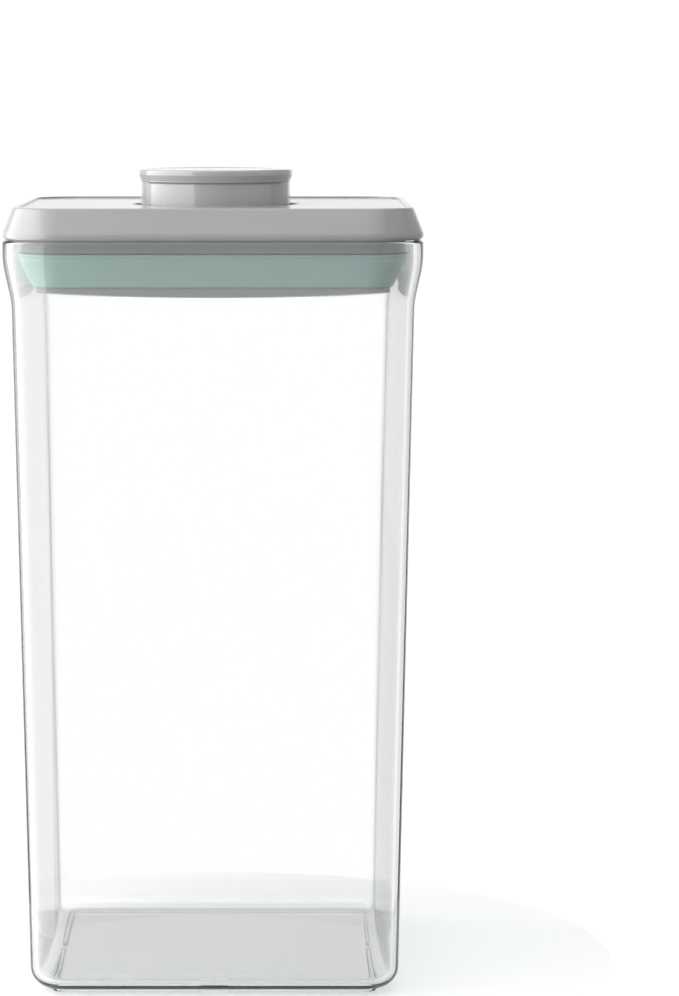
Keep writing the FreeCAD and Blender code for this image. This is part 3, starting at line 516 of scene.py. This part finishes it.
def make_seal():
    """Silicone ring with a beaded top lip, a tapered wall and a hollow behind it."""
    top = high("seal_ring").z
    bottom = low("seal_ring").z
    wide = half_width("seal_ring")
    inner = 50.5 * MM
    foot = 55.8 * MM
    lip_low = top - 2.2 * MM
    bead = 0.3 * MM
    profile = rounded([
        (inner, bottom, 0.3 * MM),
        (foot, bottom, 0.5 * MM),
        (wide - bead, lip_low, 0.9 * MM),
        (wide - bead, top - 1.0 * MM, 0.15 * MM),
        (wide, top - 0.8 * MM, 0.15 * MM),
        (wide, top, 0.25 * MM),
        (inner, top, 0.3 * MM),
        (inner, lip_low, 0.3 * MM),
        (wide - 4.2 * MM, lip_low, 0.8 * MM),
        (inner, bottom + 1.65 * MM, 0.3 * MM),
    ], steps=5)
    bm = bmesh.new()
    sweep_square(bm, profile)
    return new_object("seal", bm, SEAL_MINT, 50.0)


# ---------------------------------------------------------------- button

def make_button_cap():
    """Button top: dished face, flared lip, spigot, and the plunger with its pin."""
    top = high("button_cap").z
    rim = half_width("button_cap")
    side = 24.2 * MM
    under = top - 1.9 * MM
    joint = lid_z(16.8)
    spigot = side - 2.3 * MM
    spigot_inside = spigot - 2.0 * MM
    spigot_low = joint - 1.0 * MM
    plunger = 7.0 * MM
    plunger_low = lid_z(11.5)
    pin_low = low("button_cap").z
    pin = 3.9 * MM
    profile = rounded([
        (0.0, pin_low),
        (pin, pin_low, 0.3 * MM),
        (pin, plunger_low, 0.2 * MM),
        (plunger, plunger_low, 0.3 * MM),
        (plunger, under, 0.8 * MM),
        (spigot_inside, under, 0.8 * MM),
        (spigot_inside, spigot_low, 0.2 * MM),
        (spigot, spigot_low, 0.3 * MM),
        (spigot, joint, 0.1 * MM),
        (side, joint, 0.12 * MM),
        (side, joint + 0.35 * MM, 0.8 * MM),
        (rim, top - 1.8 * MM, 0.8 * MM),
        (rim, top, 0.7 * MM),
        (rim - 1.9 * MM, top, 1.0 * MM),
        (rim - 2.9 * MM, top - 0.3 * MM, 1.4 * MM),
        (rim - 12.0 * MM, top - 0.48 * MM, 60.0 * MM),
        (0.0, top - 0.6 * MM),
    ], closed=False)
    bm = bmesh.new()
    turn_round(bm, profile)
    return new_object("button_top", bm, BUTTON_GREY, 35.0)


def ease(share):
    """Smooth step from 0 to 1."""
    share = min(max(share, 0.0), 1.0)
    return share * share * (3 - 2 * share)


def make_grip_ribs(name, facing):
    """The grip recess's skin: fine level ribs, blended into the side wall at its ends and top."""
    floor = 23.52 * MM
    depth = 0.68 * MM
    z_low, z_high = lid_z(5.05), lid_z(16.72)
    half_angle = math.radians(63.4)
    end_blend = math.radians(3.6)
    top_blend = 0.45 * MM
    rib_pitch = 0.8 * MM
    rib_height = 0.012 * MM
    skin = 0.07 * MM
    columns = ROUND_COUNT
    rows_per_rib = 6
    rows = int((z_high - z_low) / rib_pitch) * rows_per_rib
    bm = bmesh.new()
    outer, inner = [], []
    for row in range(rows + 1):
        z = z_low + (z_high - z_low) * row / rows
        wave = 0.5 - 0.5 * math.cos(FULL_TURN * (z - z_low) / rib_pitch)
        near_top = 1 - ease((z_high - z) / top_blend)
        outer_row, inner_row = [], []
        for i in range(columns + 1):
            offset = half_angle * (2 * i / columns - 1)
            near_end = 1 - ease((half_angle - abs(offset)) / end_blend)
            rise = max(near_top, near_end)
            out = (math.cos(facing + offset), math.sin(facing + offset))
            front = floor + rib_height * wave * (1 - rise) + depth * rise
            back = front - skin
            outer_row.append(bm.verts.new((front * out[0], front * out[1], z)))
            inner_row.append(bm.verts.new((back * out[0], back * out[1], z)))
        outer.append(outer_row)
        inner.append(inner_row)
    for sheet in (outer, inner):
        for lower, upper in zip(sheet, sheet[1:]):
            for i in range(columns):
                bm.faces.new((lower[i], lower[i + 1], upper[i + 1], upper[i]))
    for i in range(columns):
        for row in (0, -1):
            bm.faces.new((outer[row][i], outer[row][i + 1], inner[row][i + 1], inner[row][i]))
    for row in range(rows):
        for end in (0, -1):
            up = row + 1
            bm.faces.new((outer[row][end], outer[up][end], inner[up][end], inner[row][end]))
    return new_object(name, bm, BUTTON_GREY, 60.0)


# ---------------------------------------------------------------- return spring

def make_spring():
    """Coil spring with closed, flattened end turns."""
    bottom = low("return_spring").z
    top = high("return_spring").z
    wire = 0.55 * MM
    radius = 5.6 * MM
    turns, steps, sides = 6.0, 40, 12
    end_turns = 0.75
    end_pitch = 1.8 * wire
    count = int(turns * steps)
    rise = top - bottom - 2 * wire - 2 * end_pitch * end_turns
    bm = bmesh.new()
    rings = []
    for i in range(count + 1):
        turn = turns * i / count
        share = min(max((turn - end_turns) / (turns - 2 * end_turns), 0.0), 1.0)
        closed_turns = min(turn, end_turns) + max(turn - turns + end_turns, 0.0)
        z = bottom + wire + end_pitch * closed_turns + rise * share
        angle = FULL_TURN * turn
        out = Vector((math.cos(angle), math.sin(angle), 0))
        ring = []
        for side in range(sides):
            around = FULL_TURN * side / sides
            reach = radius + wire * math.cos(around)
            ring.append(bm.verts.new(out * reach + Vector((0, 0, z + wire * math.sin(around)))))
        rings.append(ring)
    for before, after in zip(rings, rings[1:]):
        bridge(bm, before, after)
    bm.faces.new(rings[0])
    bm.faces.new(rings[-1])
    return new_object("spring_coil", bm, STEEL, 60.0)


# ---------------------------------------------------------------- the canister

dress_cad_nodes()

stand_for(make_jar(), "container_body", "jar")
stand_for(make_lid_shell(), "lid_shell", "lid")
stand_for(make_button_cap(), "button_cap", "button")

seal = make_seal()
stand_for(seal, "seal_ring", "lid")
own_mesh(seal)

spring = make_spring()
stand_for(spring, "return_spring", "lid")
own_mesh(spring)

for name, facing in (("grip_ribs_front", -QUARTER_TURN), ("grip_ribs_back", QUARTER_TURN)):
    ribs = make_grip_ribs(name, facing)
    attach(ribs, "button")


# ---------------------------------------------------------------- floor, lights, camera

FLOOR_RADIUS = 0.13
BACKDROP_STRENGTH = 1.13
ROOM_COLOUR = (0.97, 0.985, 1.0, 1)
# The backdrop fills the directions whose share along +Y is past this span.
BACKDROP_SPAN = (0.82, 0.9)
# Strength of the room's light for directions from level with the canister to near the backdrop.
ROOM_SPAN = (0.1, 0.5)
ROOM_STRENGTHS = (0.22, 0.5)


def make_floor():
    """A small pale floor disc, as white to the camera as the backdrop round it."""
    material, tree, shader = new_material("floor_white")
    patch = noise(tree, 3.0, 2.0)
    dark, light = (0.90, 0.90, 0.90), (0.92, 0.92, 0.92)
    tree.links.new(mottle_and_shade(tree, patch, dark, light), shader.inputs["Base Color"])
    shader.inputs["Roughness"].default_value = 0.7
    bm = bmesh.new()
    bmesh.ops.create_circle(bm, cap_ends=True, segments=64, radius=FLOOR_RADIUS)
    floor = new_object("floor", bm, material)


def make_world():
    """A studio: a white backdrop behind the canister and a dimmer room everywhere else.

    Seen past or through the canister, everything is as white as the backdrop. The room is there
    for the light on the canister and for its reflections.
    """
    world = bpy.data.worlds.new("studio")
    bpy.context.scene.world = world
    world.use_nodes = True
    tree = world.node_tree
    room = tree.nodes["Background"]
    room.inputs["Color"].default_value = ROOM_COLOUR
    backdrop = add_node(tree, "Background", {
        "Color": (1.0, 1.0, 1.0, 1), "Strength": BACKDROP_STRENGTH,
    })
    place = add_node(tree, "TexCoord")
    axes = add_node(tree, "SeparateXYZ")
    edge = add_node(tree, "MapRange", {
        "From Min": BACKDROP_SPAN[0], "From Max": BACKDROP_SPAN[1],
    }, interpolation_type="SMOOTHSTEP")
    glow = add_node(tree, "MapRange", {
        "From Min": ROOM_SPAN[0],
        "From Max": ROOM_SPAN[1],
        "To Min": ROOM_STRENGTHS[0],
        "To Max": ROOM_STRENGTHS[1],
    })
    ray = add_node(tree, "LightPath")
    through = add_node(tree, "Math", operation="SUBTRACT", use_clamp=True)
    direct = add_node(tree, "Math", operation="MAXIMUM")
    seen = add_node(tree, "Math", operation="MAXIMUM")
    mix = add_node(tree, "MixShader")
    output = tree.nodes["World Output"]
    for source, target in (
        (place.outputs["Generated"], axes.inputs["Vector"]),
        (axes.outputs["Y"], edge.inputs["Value"]),
        (axes.outputs["Y"], glow.inputs["Value"]),
        (glow.outputs["Result"], room.inputs["Strength"]),
        (ray.outputs["Is Transmission Ray"], through.inputs[0]),
        (ray.outputs["Diffuse Depth"], through.inputs[1]),
        (ray.outputs["Is Camera Ray"], direct.inputs[0]),
        (through.outputs["Value"], direct.inputs[1]),
        (direct.outputs["Value"], seen.inputs[0]),
        (edge.outputs["Result"], seen.inputs[1]),
        (seen.outputs["Value"], mix.inputs["Fac"]),
        (room.outputs["Background"], mix.inputs[1]),
        (backdrop.outputs["Background"], mix.inputs[2]),
        (mix.outputs["Shader"], output.inputs["Surface"]),
    ):
        tree.links.new(source, target)


def new_lamp(name, kind, energy, direction):
    """A lamp that shines along the direction."""
    data = bpy.data.lights.new(name, kind)
    data.energy = energy
    lamp = bpy.data.objects.new(name, data)
    bpy.context.scene.collection.objects.link(lamp)
    lamp.rotation_euler = Vector(direction).to_track_quat("-Z", "Y").to_euler()
    return lamp


def sun_light(name, direction, strength, spread_degrees):
    """Even light from above, as soft as a large diffuser over the canister."""
    lamp = new_lamp(name, "SUN", strength, direction)
    lamp.data.angle = math.radians(spread_degrees)


def area_light(name, place, aim, width, height, power):
    """A soft box at a place, facing a point, that isn't seen through the clear jar."""
    lamp = new_lamp(name, "AREA", power, Vector(aim) - Vector(place))
    lamp.data.shape = "RECTANGLE"
    lamp.data.size, lamp.data.size_y = width, height
    lamp.visible_transmission = False
    lamp.location = place


def make_camera():
    """Looks at the front from a little above the lid, tilted slightly down."""
    above_lid = 38.6 * MM
    tilt_down = math.radians(6.41)
    data = bpy.data.cameras.new("camera")
    data.sensor_width = 36.0
    data.lens = 133.9
    data.shift_x = 0.056
    data.clip_end = 50.0
    camera = bpy.data.objects.new("camera", data)
    bpy.context.scene.collection.objects.link(camera)
    camera.location = (0.022, -1.2, LID_TOP + above_lid)
    camera.rotation_euler = (QUARTER_TURN - tilt_down, 0, 0)
    bpy.context.scene.camera = camera


make_floor()
make_world()
sun_light("overhead", direction=(0.2, 0.3, -1.0), strength=1.8, spread_degrees=100.0)
area_light(
    "key_left", place=(-0.43, -0.21, 0.13), aim=(0, -0.21, 0.1),
    width=0.92, height=0.96, power=7.6,
)
area_light(
    "fill_right", place=(0.75, -0.5, 0.4), aim=(0, -0.5, 0.3),
    width=1.2, height=0.8, power=1.6,
)
make_camera()
bpy.context.scene.view_settings.view_transform = "Standard"
